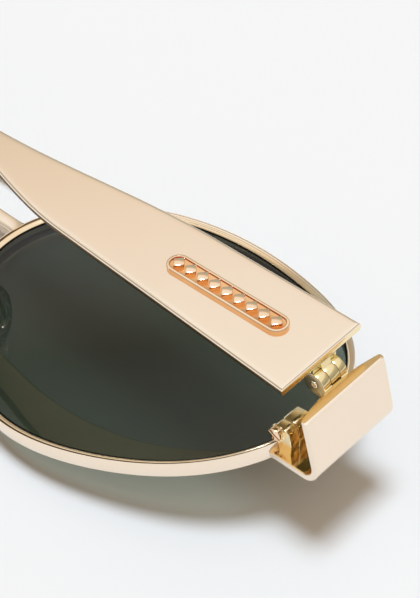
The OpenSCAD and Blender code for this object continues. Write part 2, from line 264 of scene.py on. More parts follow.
def colour_ramp(nodes, links, factor, *stops):
    """A ramp's colour over factor, through (position, colour) stops."""
    ramp = nodes.new("ShaderNodeValToRGB")
    elements = ramp.color_ramp.elements
    elements[0].position, elements[0].color = stops[0][0], (*stops[0][1], 1)
    elements[1].position, elements[1].color = stops[-1][0], (*stops[-1][1], 1)
    for position, colour in stops[1:-1]:
        elements.new(position).color = (*colour, 1)
    links.new(factor, ramp.inputs["Fac"])
    return ramp.outputs["Color"]


def metal(name, light, dark, rough, wander, bump):
    """Plated metal: base colour and roughness wander a little, with fine polishing marks."""
    m, nodes, links, bsdf = principled_material(name)
    bsdf.inputs["Metallic"].default_value = 1.0
    coord = nodes.new("ShaderNodeTexCoord").outputs["Object"]
    cloud = noise(nodes, links, coord, Scale=180.0, Detail=3.0)
    links.new(colour_ramp(nodes, links, cloud, (0.3, dark), (0.7, light)),
              bsdf.inputs["Base Color"])
    vary_roughness(nodes, links, bsdf, cloud, rough - wander, rough + wander)
    stretch = nodes.new("ShaderNodeMapping")
    stretch.inputs["Scale"].default_value = (1.0, 5.0, 5.0)
    links.new(coord, stretch.inputs["Vector"])
    marks = noise(nodes, links, stretch.outputs["Vector"], Scale=900.0, Detail=4.0)
    add_marks(nodes, links, bsdf, marks, bump)
    return m


def lens_material(name, through):
    """Tinted glass whose tint is taken at each of its two surfaces."""
    m, nodes, links = new_material(name)
    out = nodes.new("ShaderNodeOutputMaterial")
    clear = nodes.new("ShaderNodeBsdfTransparent")
    gloss = nodes.new("ShaderNodeBsdfGlossy")
    gloss.inputs["Roughness"].default_value = 0.03
    mix = nodes.new("ShaderNodeMixShader")
    links.new(mix.outputs[0], out.inputs[0])
    links.new(clear.outputs[0], mix.inputs[1])
    links.new(gloss.outputs[0], mix.inputs[2])
    # The same reflection from both sides of each surface.
    geo = nodes.new("ShaderNodeNewGeometry")
    index = nodes.new("ShaderNodeMix")
    index.data_type = "FLOAT"
    index.inputs[2].default_value = LENS_INDEX
    index.inputs[3].default_value = 1 / LENS_INDEX
    links.new(geo.outputs["Backfacing"], index.inputs[0])
    fresnel = nodes.new("ShaderNodeFresnel")
    links.new(index.outputs[0], fresnel.inputs["IOR"])
    # The attribute edge is 1 on a band along the lens's edge, which is painted black as painted
    # shade and hardly shines.
    edge = nodes.new("ShaderNodeAttribute")
    edge.attribute_name = "edge"
    dull = nodes.new("ShaderNodeMath")
    dull.operation = "MULTIPLY_ADD"
    links.new(edge.outputs["Fac"], dull.inputs[0])
    dull.inputs[1].default_value = -EDGE_SHADE_DULL
    dull.inputs[2].default_value = 1.0
    shine = nodes.new("ShaderNodeMath")
    shine.operation = "MULTIPLY"
    links.new(fresnel.outputs[0], shine.inputs[0])
    links.new(dull.outputs[0], shine.inputs[1])
    links.new(shine.outputs[0], mix.inputs[0])
    # The tint wanders a little. A ray crosses two surfaces, so each takes its square root.
    coord = nodes.new("ShaderNodeTexCoord").outputs["Object"]
    cloud = noise(nodes, links, coord, Scale=40.0)
    once = [math.sqrt(v) for v in through]
    wander = [(at, [v * share for v in once]) for at, share in ((0, 0.97), (1, 1.03))]
    shade = nodes.new("ShaderNodeMix")
    shade.data_type = "RGBA"
    links.new(edge.outputs["Fac"], shade.inputs[0])
    links.new(colour_ramp(nodes, links, cloud, *wander), shade.inputs[6])
    # On the edge band the glass lets through near black: painted shade.
    shade.inputs[7].default_value = (*EDGE_SHADE, 1)
    links.new(shade.outputs[2], clear.inputs["Color"])
    return m


def silicone_material(name):
    """Soft clear plastic with a fine grain."""
    m, nodes, links, bsdf = principled_material(name)
    bsdf.inputs["Base Color"].default_value = (0.93, 0.93, 0.90, 1)
    bsdf.inputs["Transmission Weight"].default_value = 0.75
    bsdf.inputs["IOR"].default_value = 1.41
    bsdf.inputs["Subsurface Weight"].default_value = 0.2
    bsdf.inputs["Subsurface Scale"].default_value = 0.001
    coord = nodes.new("ShaderNodeTexCoord").outputs["Object"]
    grain = noise(nodes, links, coord, Scale=1500.0)
    vary_roughness(nodes, links, bsdf, grain, 0.18, 0.34)
    add_marks(nodes, links, bsdf, grain, 0.1)
    return m


def acetate_material(name):
    """Mottled brown acetate under a polished surface."""
    m, nodes, links, bsdf = principled_material(name)
    bsdf.inputs["Coat Weight"].default_value = 0.6
    bsdf.inputs["Coat Roughness"].default_value = 0.04
    coord = nodes.new("ShaderNodeTexCoord").outputs["Object"]
    mottle = noise(nodes, links, coord, Scale=120.0, Detail=4.0, Distortion=1.4)
    colour = colour_ramp(nodes, links, mottle, (0.42, (0.012, 0.006, 0.004)),
                         (0.53, (0.07, 0.026, 0.010)), (0.66, (0.30, 0.12, 0.03)))
    links.new(colour, bsdf.inputs["Base Color"])
    vary_roughness(nodes, links, bsdf, mottle, 0.16, 0.24)
    return m


# Each metal: a light and a dark tone, roughness and how far it wanders, and polishing marks.
champagne = metal("champagne_gold", (0.945, 0.805, 0.655), (0.935, 0.792, 0.638), 0.13, 0.02, 0.10)
satin = metal("champagne_satin", (0.95, 0.81, 0.66), (0.94, 0.797, 0.643), 0.24, 0.02, 0.10)
yellow = metal("yellow_gold", (0.93, 0.73, 0.38), (0.90, 0.68, 0.31), 0.10, 0.02, 0.08)
cast_gold = metal("cast_gold", (0.98, 0.84, 0.56), (0.96, 0.79, 0.48), 0.17, 0.04, 0.12)
pale_gold = metal("pale_gold", (0.90, 0.765, 0.46), (0.86, 0.70, 0.385), 0.16, 0.03, 0.12)
deep_gold = metal("deep_gold", (0.84, 0.61, 0.32), (0.76, 0.52, 0.24), 0.12, 0.02, 0.10)
# A dark bronze that is painted shade in the recess of the hinge's low knuckle.
recess_shade = metal("painted_recess_shade", (0.58, 0.46, 0.27), (0.50, 0.38, 0.21), 0.28, 0.04, 0.12)
# A dark brown that is painted shade, not a colour of the metal: it darkens the rim's groove and the
# temple's corner strips where they lie in shade.
painted_shade = metal("painted_shade_brown", (0.17, 0.105, 0.05), (0.12, 0.07, 0.03), 0.32, 0.05, 0.15)
inner_gold = metal("inner_gold", (0.95, 0.75, 0.47), (0.92, 0.70, 0.41), 0.45, 0.05, 0.12)
bead_gold = metal("bead_gold", (0.93, 0.75, 0.53), (0.88, 0.67, 0.43), 0.12, 0.03, 0.10)
rose = metal("rose_gold", (0.96, 0.76, 0.56), (0.93, 0.68, 0.46), 0.10, 0.02, 0.08)
# An orange gold that is painted shade on the walls and floor of the plaque.
plaque_shade = metal("painted_shade_copper", (0.90, 0.56, 0.30), (0.84, 0.47, 0.22), 0.14, 0.03, 0.10)
tint = lens_material("green_lens", (0.145, 0.18, 0.145))
silicone = silicone_material("clear_silicone")
acetate = acetate_material("mottled_acetate")


# ---- rims and lenses ----
# The outline is an ellipse with slow waves on it: how many waves, and their cosine and sine
# parts in millimetres.
WAVES = ((1, 0.23, -0.45), (2, 0.0, -0.55), (3, 0.56, 0.38), (4, 0.2, -0.23))


def rim_radius(t):
    r = RIM_A * RIM_B / math.hypot(RIM_B * math.cos(t), RIM_A * math.sin(t))
    for n, c, s in WAVES:
        r += c * math.cos(n * t)
        r += s * math.sin(n * t)
    return r


def on_sphere(t, grow, radius):
    """A point of the outline, grown by grow, on the sphere of that radius."""
    r = rim_radius(t) + grow
    return (r * math.cos(t), r * math.sin(t), SPHERE_Z - math.sqrt(radius ** 2 - r ** 2))


def outline_x(y, sign=1):
    """X of the outline at a height y, on the temple side (1) or the nose side (-1)."""
    lo, hi = -0.6, 0.6
    for _ in range(40):
        mid = (lo + hi) / 2
        t = mid if sign > 0 else math.pi - mid
        if rim_radius(t) * math.sin(t) < y:
            lo = mid
        else:
            hi = mid
    t = lo if sign > 0 else math.pi - lo
    return rim_radius(t) * math.cos(t)


# Across the wire: how far in from the outline, and how deep from the back face.
RIM_SECTION = [(0.0, 1.98), (0.0, 0.07), (0.02, 0.02), (0.06, 0.0), (0.12, 0.02), (0.14, 0.12),
               (0.36, 0.12), (0.38, 0.06), (0.42, 0.02), (0.50, -0.01), (0.62, -0.01),
               (0.72, 0.005), (0.84, 0.03), (0.95, 0.07), (1.03, 0.12), (1.05, 0.15),
               (0.85, 0.17), (0.85, 1.8), (0.80, 2.02), (0.68, 2.13), (0.5, 2.15),
               (0.24, 2.14), (0.06, 2.09)]
# Which of its faces are the fine groove and the bead beside the lens. The groove is painted dark
# brown as painted shade, on the lower part of the rim only.
RIM_GROOVE, RIM_BEAD = (4, 5, 6), range(7, 16)
RIM_LOWER = 0.46


def make_rim(side):
    steps = 360
    cut = math.radians(0.1)
    gap = math.atan2(BLOCK_GAP, outline_x(BLOCK_GAP))
    rings = []
    for i in range(steps + 1):
        t = gap + cut + (2 * math.pi - 2 * cut) * i / steps
        rings.append([on_sphere(t, -u, BASE_R + d) for u, d in RIM_SECTION])
    cols = len(RIM_SECTION)
    ids = []
    for k in range(steps * cols):
        # The groove's faces on the lower part of the rim get the painted-shade brown.
        face, lower = k % cols, k // cols > RIM_LOWER * steps
        ids.append(1 if lower and face in RIM_GROOVE else 2 if face in RIM_BEAD else 0)
    obj = solid("rim_wire_" + side, *loft(rings), lens_place(side), [champagne, painted_shade, bead_gold],
                ids + [0, 0], angle=50)
    finish(obj, "front", "champagne_gold", "rim_" + side)


# The polished faces mirror as a flatter curve than the rim they sit in.
MIRROR_R = 200.0
# Rings on a face, as shares of the outline and then as distances from the edge.
LENS_SHARES = (0.12, 0.25, 0.4, 0.55, 0.68, 0.8, 0.88, 0.93)
LENS_INSETS = (0.62, 0.5, 0.38, 0.24, 0.1, 0.0)
# Round the edge: a ridge that stands out, and how far through the thickness it lies.
LENS_RIDGE = ((0.0, 0.72), (-0.36, 0.54), (-0.36, 0.46), (0.0, 0.28))
# The painted black shade on the edge fades out between these distances from the edge.
EDGE_SHADE_FADE = (0.36, 0.52)


def make_lens(side):
    steps = 240
    inset = RIM_W + 0.03
    back, front = BASE_R + LENS_IN, BASE_R + LENS_IN + LENS_T
    # Rings from the middle of the back face to its edge, round the edge, and back in front:
    # each has a share of the outline or a growth beyond it.
    rings = [(f, None, back) for f in LENS_SHARES]
    rings += [(None, -inset - e, back) for e in LENS_INSETS]
    rings += [(None, -inset - a, front - b * LENS_T) for a, b in LENS_RIDGE]
    rings += [(None, -inset - e, front) for e in reversed(LENS_INSETS)]
    rings += [(f, None, front) for f in reversed(LENS_SHARES)]
    points, edge = [], []
    for f, grow, radius in rings:
        for j in range(steps):
            t = 2 * math.pi * j / steps
            g = grow if grow is not None else (f - 1) * rim_radius(t)
            points.append(on_sphere(t, g, radius))
            edge.append(1.0 - smooth_step(-g - inset, *EDGE_SHADE_FADE))
    rim_points = len(points)
    faces = grid(len(rings), steps)
    for radius, first in ((back, 0), (front, rim_points - steps)):
        points.append((0, 0, SPHERE_Z - radius))
        edge.append(0.0)
        tip = len(points) - 1
        faces += [(tip, first + (j + 1) % steps, first + j) for j in range(steps)]
    obj = solid("lens_glass_" + side, points, faces, lens_place(side), [tint], angle=40)
    layer = obj.data.attributes.new("edge", "FLOAT", "POINT")
    layer.data.foreach_set("value", edge)
    rotation = lens_place(side).to_3x3()
    normals = [(0.0, 0.0, 0.0)] * len(points)
    face_points = (len(LENS_SHARES) + len(LENS_INSETS)) * steps
    for first, middle, sign in ((0, rim_points, 1), (rim_points - face_points, rim_points + 1, -1)):
        for k in (*range(first, first + face_points), middle):
            x, y = points[k][:2]
            normals[k] = tuple((rotation @ Vector((-x, -y, MIRROR_R))).normalized() * sign)
    obj.data.normals_split_custom_set_from_vertices(normals)
    finish(obj, "front", "tinted_lens", "lens_" + side)


# ---- bars between the rims ----
def rounded_section(h, d, r):
    """A rounded rectangle of (y, z) points about its middle."""
    steps = 4
    out = []
    for cy, cz, a0 in ((1, 1, 0), (-1, 1, 90), (-1, -1, 180), (1, -1, 270)):
        for k in range(steps + 1):
            a = math.radians(a0 + 90 * k / steps)
            out.append((cy * (h / 2 - r) + r * math.cos(a), cz * (d / 2 - r) + r * math.sin(a)))
    return out


BAR_STATIONS = (-1, -0.97, -0.92, -0.84, -0.72, -0.5, -0.25, 0, 0.25, 0.5, 0.72, 0.84, 0.92,
                0.97, 1)


def make_bar(name, node, y_mid, h, d, z_mid):
    """A bar of height h and depth d from rim to rim."""
    c, s = math.cos(math.radians(WRAP)), math.sin(math.radians(WRAP))
    section = rounded_section(h, d, 0.4)

    def end_x(y, z):
        target = outline_x(y, -1) + 0.2
        return LENS_SPACING / 2 + (target - (z - LENS_LIFT) * s) / c

    rings = []
    for f in BAR_STATIONS:
        # The brazed ends swell a little where they run into the rims.
        swell = 1 + 0.16 * max(0.0, (abs(f) - 0.8) / 0.2) ** 2
        ring = []
        for y, z in section:
            yy, zz = y_mid + y * swell, z_mid + z * (1 + (swell - 1) * 0.4)
            ring.append((f * end_x(yy, zz), LENS_Y + yy, zz))
        rings.append(ring)
    obj = solid(name, *loft(rings), Matrix.Identity(4), [champagne], angle=50)
    finish(obj, "front", "champagne_gold", node)


# ---- endpieces ----
# How far the bend leans down and out, from an X where the sheet starts to lean over a width.
LEAN, LEAN_X, LEAN_W = 0.95, 29.6, 4.0
# Up the side plate: height, share of the crown, and pull-in of the outer face.
PLATE_STATIONS = ((3.9, 0.1, 0.0), (4.5, 0.4, 0.0), (5.2, 0.75, 0.0), (6.0, 0.96, 0.0),
                  (7.0, 1.0, 0.0), (8.2, 1.0, 0.0), (9.1, 1.0, 0.0), (9.2, 1.0, 0.0),
                  (9.86, 1.0, 0.09), (10.0, 1.0, 0.30))
# Across the sheet, from its low edge to its high one.
PLATE_ACROSS = (-1, -0.98, -0.9, -0.78, -0.62, -0.45, -0.22, 0, 0.22, 0.45, 0.62, 0.78, 0.9,
                0.98, 1)


def leaned(p):
    """The bend sits a little lower and further out than the plate's free edge."""
    x, y, z = p
    share = min(1.0, max(0.0, (x - LEAN_X) / LEAN_W)) * (PLATE_TOP - z) / PLATE_TOP
    return (x + LEAN * share, y, z - LEAN * share)


def endpiece_line(y):
    """The outer line at a height y, from the rim round the bend and up the plate.

    Each point is x, z, inward x, inward z, share of the crown and pull-in of the outer face.
    """
    cx, cz = PLATE_X - BEND_R, BEND_Z + BEND_R
    x0 = outline_x(y) - 0.1
    for f in (0, 0.25, 0.5, 0.75):
        x = x0 + (cx - x0) * f
        yield x, STRIP_Z + (BEND_Z - STRIP_Z) * (x - 27) / (cx - 27), 0.0, 1.0, 0.0, 0.0
    for k in range(13):
        a = math.radians(-90 + 7.5 * k)
        yield (cx + BEND_R * math.cos(a), cz + BEND_R * math.sin(a), -math.cos(a), -math.sin(a),
               0.0, 0.0)
    for z, crown, pull in PLATE_STATIONS:
        yield PLATE_X, z, -1.0, 0.0, crown, pull


def make_endpiece(side):
    mid = (PLATE_LOW + PLATE_HIGH) / 2
    half = (PLATE_HIGH - PLATE_LOW) / 2
    outer, inner = [], []
    for v in PLATE_ACROSS:
        y = mid + v * half
        at_edge = abs(v) == 1
        outer.append([])
        inner.append([])
        for x, z, ix, iz, crown, pull in endpiece_line(y):
            out = (0.12 if at_edge else 0.0) + pull
            deep = SHEET_T + crown * CROWN * (1 - v * v)
            deep -= 0.1 if at_edge else 0.0
            deep -= 0.08 if pull > 0.1 else 0.0
            outer[-1].append(leaned((x + ix * out, y, z + iz * out)))
            inner[-1].append(leaned((x + ix * deep, y, z + iz * deep)))
    rings = [list(ring) for ring in zip(*outer, *reversed(inner))]
    cols = len(rings[0])
    ids = [1 if len(PLATE_ACROSS) <= n % cols < cols - 1 else 0
           for n in range((len(rings) - 1) * cols)] + [1, 1]
    obj = solid("endpiece_sheet_" + side, *loft(rings), lens_place(side), [satin, deep_gold],
                ids, angle=28)
    finish(obj, "front", "champagne_gold", "endpiece_" + side)


# ---- closing blocks and screws ----
def polar_ring(section, centre, angles):
    """The section's outline met by rays from centre."""
    out = []
    n = len(section)
    for a in angles:
        dx, dz = math.cos(a), math.sin(a)
        best = None
        for k in range(n):
            (x1, z1), (x2, z2) = section[k], section[(k + 1) % n]
            ex, ez = x2 - x1, z2 - z1
            det = dx * -ez + ex * dz
            if abs(det) < 1e-9:
                continue
            px, pz = x1 - centre[0], z1 - centre[1]
            t = (px * -ez + ex * pz) / det
            u = (dx * pz - dz * px) / det
            if t > 0 and -1e-6 <= u <= 1 + 1e-6 and (best is None or t > best):
                best = t
        out.append((centre[0] + dx * best, centre[1] + dz * best))
    return out


def chamfered(section, cut):
    """The section with each corner cut off."""
    out = []
    n = len(section)
    for k in range(n):
        p, q, r = Vector(section[k - 1]), Vector(section[k]), Vector(section[(k + 1) % n])
        for other in (p, r):
            d = other - q
            out.append(tuple(q + d.normalized() * min(cut, d.length * 0.3)))
    return out


def drilled_block(section, y0, y1):
    """A block along Y with its corners cut and its ends softened."""
    cut = chamfered(section, 0.13)
    angles = sorted({round(math.atan2(z - BLOCK_SCREW[1], x - BLOCK_SCREW[0]), 5) for x, z in cut}
                    | {round(math.radians(a), 5) for a in range(-180, 180, 12)})
    rim = polar_ring(cut, BLOCK_SCREW, angles)

    def ring(y, inset):
        out = []
        for x, z in rim:
            dx, dz = x - BLOCK_SCREW[0], z - BLOCK_SCREW[1]
            r = math.hypot(dx, dz)
            out.append((x - dx / r * inset, y, z - dz / r * inset))
        return out

    def hole(y):
        return [(x, y, z) for x, z in (polar(0.3, a, BLOCK_SCREW) for a in angles)]

    return loft([hole(y0), ring(y0, 0.11), ring(y0 + 0.04, 0.03), ring(y0 + 0.12, 0),
                 ring(y1 - 0.12, 0), ring(y1 - 0.04, 0.03), ring(y1, 0.11), hole(y1)])


def block_section(foot_x):
    return [(28.95, 3.7), (28.9, 4.75), (29.35, 5.42), (30.95, 5.42), (31.55, 4.8), (31.65, 3.1),
            (31.25, BLOCK_FOOT), (foot_x, BLOCK_FOOT), (foot_x - 0.1, 2.9)]


def make_block(side, which):
    if which == "low":
        block = drilled_block(block_section(29.6), BLOCK_LOW + 0.16, BLOCK_GAP - BLOCK_CUT)
        # The boss that the screw head sits on.
        boss = turned(((BLOCK_LOW + 0.3, 1.08), (BLOCK_LOW + 0.05, 1.08), (BLOCK_LOW, 1.02),
                       (BLOCK_LOW, 0.5)), 48, BLOCK_SCREW)
        body = join([block, boss])
    else:
        body = drilled_block(block_section(30.25), BLOCK_GAP + BLOCK_CUT, BLOCK_HIGH)
    node = "closing_block_%s_%s" % (which, side)
    obj = solid("block_%s_%s" % (which, side), *body, lens_place(side), [cast_gold], angle=24)
    finish(obj, "front", "fitting_gold", node)


def screw_body(head_r, head_t, shank_r, shank_l, slot_w, slot_d):
    """A cheese-head screw along +Z: its head below Z = 0, with a slot across it."""
    def round_part(*profile):
        return loft([[(x, y, z) for x, y in circle(r, 48)] for z, r in profile])

    # The head is two halves beside the slot, standing on a full disc.
    low = -(head_t - slot_d)
    parts = [round_part((0, head_r), (low, head_r))]
    w = slot_w / 2
    a0 = math.asin(w / head_r)
    half = [a0 + (math.pi - 2 * a0) * k / 20 for k in range(21)]
    for sign in (1, -1):
        rings = []
        for z, r, inset in ((low + 0.01, head_r, 0.0), (-head_t + 0.12, head_r, 0.0),
                            (-head_t + 0.04, head_r - 0.035, 0.02),
                            (-head_t, head_r - 0.12, 0.05)):
            rings.append([(r * math.cos(a), sign * max(r * math.sin(a), w + inset), z)
                          for a in half])
        parts.append(loft(rings))
    parts.append(round_part((-0.02, shank_r), (shank_l - 0.1, shank_r),
                            (shank_l, shank_r - 0.1)))
    return join(parts)


def make_rim_screw(side):
    place = (lens_place(side) @ shift(BLOCK_SCREW[0], BLOCK_LOW - 0.02, BLOCK_SCREW[1])
             @ Matrix.Rotation(math.radians(-90), 4, "X")
             @ Matrix.Rotation(math.radians(35), 4, "Z"))
    body = screw_body(head_r=0.92, head_t=0.58, shank_r=0.5, shank_l=3.9, slot_w=0.3, slot_d=0.34)
    obj = solid("rim_bolt_" + side, *body, place, [rose])
    finish(obj, "front", "fitting_gold", "rim_screw_" + side)


# ---- hinges ----
PLATE_WALL = PLATE_X - SHEET_T - CROWN - HINGE_X
LEAF_L = 7.0
# The recess round the screw in the open end of the low knuckle.
RECESS_R, RECESS_T = 0.6, 0.12


def barrel(span, section, recessed=False):
    """One knuckle along Y about the axis, with fine rounded ends."""
    rings = []
    for y, inset in ((span[0], 0.07), (span[0] + 0.02, 0.02), (span[0] + 0.07, 0.0),
                     (span[1] - 0.07, 0.0), (span[1] - 0.02, 0.02), (span[1], 0.07)):
        ring = []
        for x, z in section:
            r = math.hypot(x, z)
            k = (r - inset) / r
            ring.append((x * k, y, z * k))
        rings.append(ring)
    if recessed:
        hole = [(RECESS_R * x / math.hypot(x, z), RECESS_R * z / math.hypot(x, z))
                for x, z in section]
        floor_y = span[0] + RECESS_T
        rings = [[(x * 0.3, floor_y, z * 0.3) for x, z in hole],
                 [(x, floor_y, z) for x, z in hole],
                 [(x, span[0], z) for x, z in hole]] + rings
    return loft(rings)


def front_ear():
    """The section of a front knuckle: a round eye whose tail runs down onto the plate."""
    out = arc(KNUCKLE_R, range(-8, 236, 6))
    wall = PLATE_WALL + 0.1
    (x, z), (to_x, to_z) = out[-1], (wall, -2.1)
    out += [(x + (to_x - x) * k / 8, z + (to_z - z) * k / 8) for k in range(1, 9)]
    return out + [(wall, -1.5), (wall, -0.9), (wall, -0.35)]


def make_front_leaf(side):
    foot = chamfered([(PLATE_WALL - 0.6, -4.4), (PLATE_WALL + 0.7, -4.4),
                      (PLATE_WALL + 0.7, -1.75), (PLATE_WALL - 0.6, -1.75)], 0.08)
    ear = front_ear()
    points, faces = join([barrel(KNUCKLE_LOW, ear, recessed=True), barrel(KNUCKLE_HIGH, ear),
                          prism(foot, KNUCKLE_LOW[0], KNUCKLE_HIGH[1])])
    # The three strips of the recess and the open end round it are painted a darker bronze, as
    # painted shade.
    ids = [1 if k < 3 * len(ear) else 0 for k in range(len(faces))]
    obj = solid("hinge_front_" + side, points, faces, hinge_place(side, 0), [pale_gold, recess_shade],
                ids, angle=30)
    finish(obj, "front", "fitting_gold", "hinge_leaf_front_" + side)


def make_temple_leaf(side):
    reach = PLATE_X - HINGE_X - TEMPLE_T
    z0 = PLATE_TOP + SEAM - HINGE_Z
    eye = arc(KNUCKLE_R, range(66, 360, 6))
    eye += [(reach - 0.05, z0 + up) for up in (0, 0.6, 1.2, 1.98)]
    leaf = chamfered([(reach - 0.9, z0 + 0.02), (reach, z0 + 0.02), (reach, z0 + LEAF_L),
                      (reach - 0.9, z0 + LEAF_L)], 0.1)
    # The wide part is hollowed to clear the front knuckles.
    wide = arc(KNUCKLE_R + 0.08, (27.6, 22, 16, 11, 6))
    wide += [(reach - 0.08, z0 + 0.02), (reach, z0 + 0.1), (reach, z0 + 6.87),
             (reach - 0.08, z0 + 6.95), (reach - 0.8, z0 + 6.95), (reach - 0.88, z0 + 6.87)]
    parts = [barrel(KNUCKLE_MID, eye), prism(leaf, *KNUCKLE_MID),
             prism(wide, KNUCKLE_LOW[0], KNUCKLE_HIGH[1])]
    obj = solid("hinge_temple_" + side, *join(parts), hinge_place(side, FOLD[side]), [pale_gold],
                angle=30)
    finish(obj, side + "_temple", "fitting_gold", "hinge_leaf_temple_" + side)


def make_hinge_screw(side):
    """A turned pin whose open end is spread into a ring."""
    low, high = KNUCKLE_LOW[0], KNUCKLE_HIGH[1] - 0.05
    profile = ((low + 0.3, 0.08), (low + 0.3, 0.24), (low - 0.04, 0.27), (low - 0.09, 0.33),
               (low - 0.09, 0.43), (low - 0.04, 0.51), (low + 0.08, 0.54), (low + 0.4, 0.54),
               (high - 0.1, 0.54), (high, 0.44))
    obj = solid("hinge_bolt_" + side, *turned(profile, 40), hinge_place(side, 0), [champagne])
    finish(obj, "front", "fitting_gold", "hinge_screw_" + side)


# ---- temples ----
# From the high or low edge inwards: an inset from the edge, and depth from the outer face.
# The edges are rounded over.
LIP = ((0.0, 0.62), (0.01, 0.50), (0.035, 0.38), (0.08, 0.25), (0.15, 0.13), (0.25, 0.045),
       (0.38, 0.01), (0.6, 0.0), (1.2, 0.0))
BACK = ((0.01, 0.75), (0.05, 0.92), (0.13, 1.06), (0.25, 1.16), (0.4, TEMPLE_T))
# The first stations from the hinge end, and how far the outer and the inner face pull in there.
END_XS, END_OUTER, END_INNER = (0, 0.03, 0.1, 0.22, 0.6), (0.28, 0.13, 0.04), (0.1, 0.03)
# The blade narrows between these stations, at its high edge and at its low one.
NARROWS_HIGH, NARROWS_LOW = (22, 62), (40, 66)
LOW_SLOPE, SLOPE_END = 0.07, 60
ARC_L = EAR_R * math.radians(EAR_ANGLE)


def edge_high(x):
    return PLATE_HIGH - (PLATE_HIGH - ARM_MID - ARM_H / 2) * smooth_step(x, *NARROWS_HIGH)


def edge_low(x):
    return (PLATE_LOW + LOW_SLOPE * min(x, SLOPE_END)
            + (ARM_MID - ARM_H / 2 - PLATE_LOW - LOW_SLOPE * SLOPE_END)
            * smooth_step(x, *NARROWS_LOW))


def turn(u):
    return 0.0 if u < EAR_START else min(math.radians(EAR_ANGLE), (u - EAR_START) / EAR_R)


def beside(u, off):
    """A point off to the side of the arm's middle line, at a distance u along it."""
    a = turn(u)
    if u < EAR_START:
        x, y = u, ARM_MID
    else:
        rest = max(0.0, u - EAR_START - ARC_L)
        x = EAR_START + EAR_R * math.sin(a) + rest * math.cos(a)
        y = ARM_MID - EAR_R * (1 - math.cos(a)) - rest * math.sin(a)
    return (x + off * math.sin(a), y + off * math.cos(a))


def make_temple(side):
    rings = []
    xs = [*END_XS, *(1.5 + 1.5 * k for k in range(58)), 90, 92.9]
    for n, x in enumerate(xs):
        hi, lo = edge_high(x), edge_low(x)
        pull = END_OUTER[n] if n < len(END_OUTER) else 0.0
        inner = TEMPLE_T - (END_INNER[n] if n < len(END_INNER) else 0.0)
        ring = [(x, hi - off, max(z, pull)) for off, z in LIP]
        ring += [(x, (hi - 1.2) + (lo - hi + 2.4) * k / 8, pull) for k in range(1, 8)]
        ring += [(x, lo + off, max(z, pull)) for off, z in reversed(LIP)]
        ring += [(x, lo + off, min(z, inner)) for off, z in BACK]
        ring += [(x, hi - off, min(z, inner)) for off, z in reversed(BACK)]
        rings.append(ring)
    # The inner face is matt, and the strips round the corners beside it are painted dark brown as
    # painted shade.
    cols = len(rings[0])
    inner_face = cols - len(BACK) - 1
    dark = {0, 1, *range(inner_face - len(BACK) - 2, cols)} - {inner_face}
    ids = [1 if n % cols == inner_face else 2 if n % cols in dark else 0
           for n in range((len(rings) - 1) * cols)] + [3, 3]
    # The core inside the sleeve.
    core = []
    for k in range(25):
        u = TIP_START + 2 + (TEMPLE_L - 5 - TIP_START - 2) * k / 24
        core.append([beside(u, off) + (z,)
                     for off, z in ((1, 0.05), (1, 1.15), (-1, 1.15), (-1, 0.05))])
    core = loft(core)
    obj = solid("temple_sheet_" + side, *join([loft(rings), core]), temple_place(side),
                [champagne, inner_gold, painted_shade, cast_gold], ids + [1] * len(core[1]), angle=32)
    finish(obj, side + "_temple", "champagne_gold", "temple_" + side)


# The sleeve's section: 1 would be an ellipse, and less is squarer.
TIP_POWER = 0.55


def make_tip(side):
    """A sleeve with a squarish oval section and a round end."""
    end = TEMPLE_L - TIP_H / 2
    mid_z = TEMPLE_T / 2
    stations = [(TIP_START + 0.02, 0.90), (TIP_START + 0.15, 0.96), (TIP_START + 0.5, 1.0)]
    stations += [(TIP_START + 1 + (end - TIP_START - 1) * k / 30, 1.0) for k in range(31)]
    stations += [(end + TIP_H / 2 * math.sin(math.radians(a)), math.cos(math.radians(a)))
                 for a in (15, 30, 45, 58, 70, 80, 87)]
    rings = []
    for u, k in stations:
        ring = []
        for across, deep in circle(1.0, 32):
            y = math.copysign(abs(across) ** TIP_POWER, across) * TIP_H / 2 * k
            z = (math.copysign(abs(deep) ** TIP_POWER, deep) * TIP_T / 2
                 * (k if k > 0.89 else 0.35 + 0.65 * k))
            ring.append((*beside(u, y), mid_z + z))
        rings.append(ring)
    obj = solid("tip_sleeve_" + side, *loft(rings), temple_place(side), [acetate], angle=60)
    finish(obj, side + "_temple", "tip_acetate", "temple_tip_" + side)


def raised(outline, z_low, z_high, soft):
    """A raised pad on the temple's outer face, with a soft upper edge."""
    cx = sum(p[0] for p in outline) / len(outline)
    cy = sum(p[1] for p in outline) / len(outline)

    def ring(z, inset):
        out = []
        for x, y in outline:
            d = math.hypot(x - cx, y - cy)
            k = (d - inset) / d
            out.append((cx + (x - cx) * k, cy + (y - cy) * k, -z))
        return out
    return loft([ring(z_low, 0), ring(z_high - soft, 0), ring(z_high - soft * 0.3, soft * 0.3),
                 ring(z_high, soft)])


# The pill's profile from its foot over the border to its floor: height and inset.
PILL_PROFILE = ((0.0, -0.22), (0.40, -0.22), (0.50, -0.16), (0.52, -0.08), (0.52, 0.08),
                (0.48, 0.15), (0.24, 0.20), (0.22, 0.30))
PILL_BORDER = range(1, 5)
# Half a lozenge's length and height.
STUD_X, STUD_Y = 0.90, 1.02


